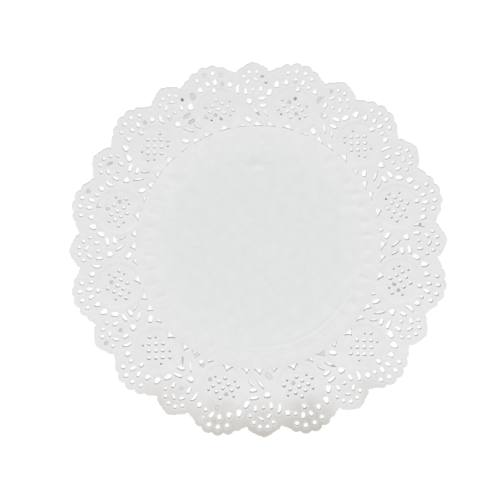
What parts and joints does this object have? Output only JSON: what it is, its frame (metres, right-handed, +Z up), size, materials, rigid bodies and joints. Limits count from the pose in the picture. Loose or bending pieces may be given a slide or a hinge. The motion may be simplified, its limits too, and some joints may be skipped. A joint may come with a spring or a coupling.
{
  "type": "paper doily",
  "caption": "Round flat paper-lace doily with a lobed, scalloped edge and a pierced lace border around a plain middle, laid under a cake, plate or cup.",
  "frame": {"origin": "middle of the underside, on the surface that the doily lies on", "axes": "+Z up out of the sheet; small lobes of the edge point along X and Y, large lobes at 15 degrees from them"},
  "size_m": [0.2636, 0.2636, 0.001],
  "materials": {
    "paper": "matt, lightly embossed"
  },
  "bodies": {
    "root": {"doily": "paper"}
  },
  "joints": []
}
